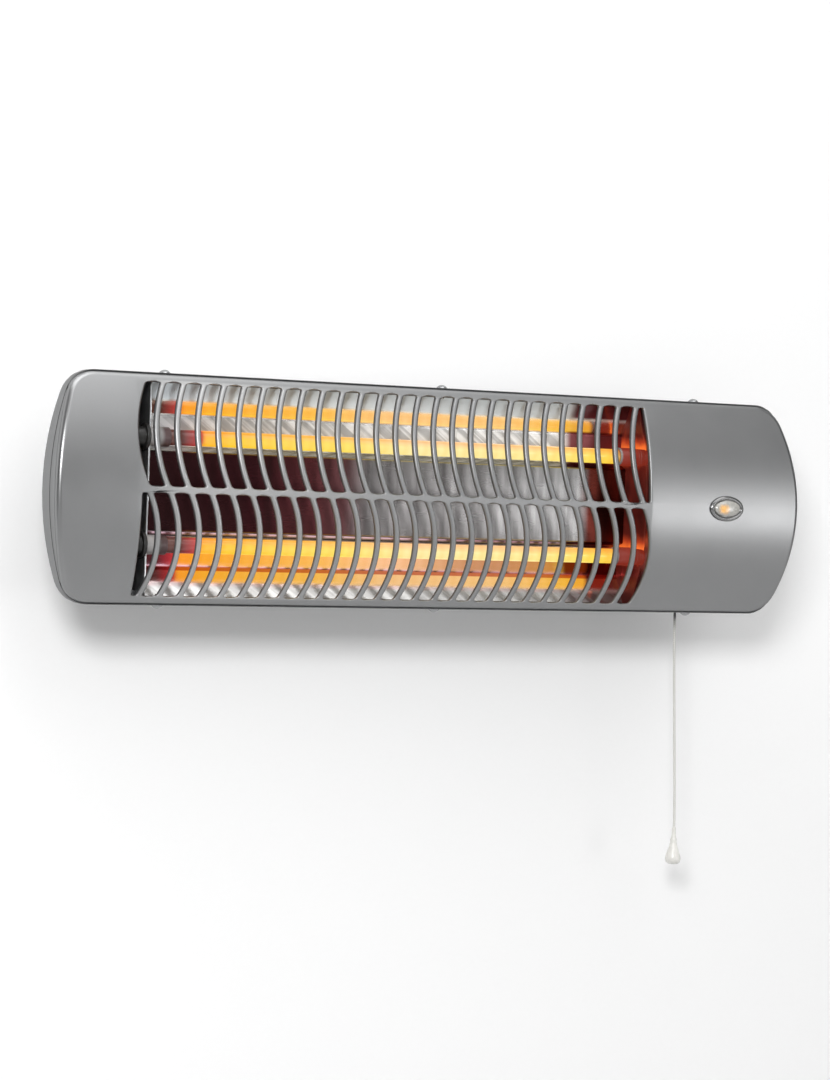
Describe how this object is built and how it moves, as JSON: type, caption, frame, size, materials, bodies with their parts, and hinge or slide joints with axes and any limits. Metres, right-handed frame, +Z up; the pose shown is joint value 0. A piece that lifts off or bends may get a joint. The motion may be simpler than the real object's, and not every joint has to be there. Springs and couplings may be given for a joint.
{
  "type": "electric bar heater",
  "caption": "Wall-hung electric quartz bar heater with a bowed silver front, wavy-ribbed grille, polished reflector, pull-cord switch and signal lamp, tilting on a wall bracket.",
  "frame": {"origin": "on the wall, midway between the two wall screws of the bracket", "axes": "+X along the heater to the lamp's end, +Y into the wall, +Z up; the front faces -Y"},
  "size_m": [0.545, 0.1004, 0.327],
  "materials": {
    "satin_silver": "satin silver powder coat with a fine grain",
    "casing_grey": "grey powder coat",
    "bright_screw": "bright zinc plating",
    "polished_reflector": "polished, with faint rolling streaks",
    "zinc_plate": "plain zinc-plated steel",
    "glowing_quartz": "frosted quartz, lit orange to yellow from inside; plain milky at its left end",
    "hot_wire": "glowing resistance wire",
    "white_ceramic": "unglazed white ceramic",
    "terminal_brass": "plain brass",
    "glass_sleeve": "braided glass-fibre sleeve",
    "white_nylon": "plain moulded white plastic",
    "black_moulding": "black phenolic moulding",
    "lamp_chrome": "satin chrome",
    "lamp_amber": "clear lens with a faceted back",
    "neon_glow": "small lit neon lamp",
    "spring_steel": "plain spring steel",
    "pale_cord": "thin pale braided cord",
    "pale_knob": "glossy pale grey plastic",
    "black_rubber": "plain black rubber"
  },
  "bodies": {
    "wall": {"wall_bracket": "casing_grey", "pivot_screws": "bright_screw"},
    "heater": {"front_cover": "satin_silver", "rear_casing": "casing_grey", "cover_screws": "bright_screw", "reflector": "polished_reflector", "reflector_end_left": "zinc_plate", "reflector_end_right": "zinc_plate", "heat_shield": "zinc_plate", "reflector_screws": "bright_screw", "quartz_tube_upper": "glowing_quartz", "quartz_tube_lower": "glowing_quartz", "heating_coil_upper": "hot_wire", "heating_coil_lower": "hot_wire", "cap_upper_left": "white_ceramic", "cap_upper_right": "white_ceramic", "cap_lower_left": "white_ceramic", "cap_lower_right": "white_ceramic", "terminal_studs": "terminal_brass", "link_strip": "terminal_brass", "lead_upper": "glass_sleeve", "lead_lower": "glass_sleeve", "terminal_block": "white_nylon", "terminal_screws": "terminal_brass", "earth_screw": "bright_screw", "thermal_cutout": "black_moulding", "lamp_bezel": "lamp_chrome", "lamp_lens": "lamp_amber", "lamp_holder": "white_nylon", "neon_lamp": "neon_glow", "switch_housing": "white_nylon", "switch_cover": "white_nylon", "switch_screws": "bright_screw", "return_spring": "spring_steel", "cord_bush": "white_nylon", "cable_grommet": "black_rubber", "tilt_bracket": "casing_grey", "tilt_screws": "bright_screw"},
    "plunger": {"switch_plunger": "white_nylon"},
    "cord": {"cord_ferrule": "bright_screw", "pull_cord": "pale_cord", "pull_knob": "pale_knob"},
    "lever": {"switch_lever": "white_nylon"},
    "ratchet": {"ratchet_wheel": "white_nylon"}
  },
  "joints": [
    {"name": "tilt", "type": "hinge", "parent": "wall", "child": "heater", "pos_m": [0, -0.021, 0], "axis": [1, 0, 0], "range_deg": [0, 30]},
    {"name": "cord_pull", "type": "slide", "parent": "heater", "child": "plunger", "axis": [0, 0, -1], "range_m": [0, 0.008], "stiffness_N_per_m": 300, "springref_m": -0.01, "deforming": ["return_spring"]},
    {"name": "lever_turn", "type": "hinge", "parent": "heater", "child": "lever", "pos_m": [0.1859, -0.0506, -0.022], "axis": [0, 1, 0], "range_deg": [0, 23.1]},
    {"name": "ratchet_turn", "type": "hinge", "parent": "heater", "child": "ratchet", "pos_m": [0.1889, -0.0506, 0.0015], "axis": [0, 1, 0], "continuous": true},
    {"name": "cord_swing", "type": "hinge", "parent": "plunger", "child": "cord", "pos_m": [0.2055, -0.047, -0.06198], "axis": [-1, 0, 0], "range_deg": [-35, 35]}
  ],
  "couplings": [
    {"joint": "lever_turn", "follows": "cord_pull", "rad_per_m": 50.34},
    {"joint": "cord_swing", "follows": "tilt", "ratio": 1}
  ]
}
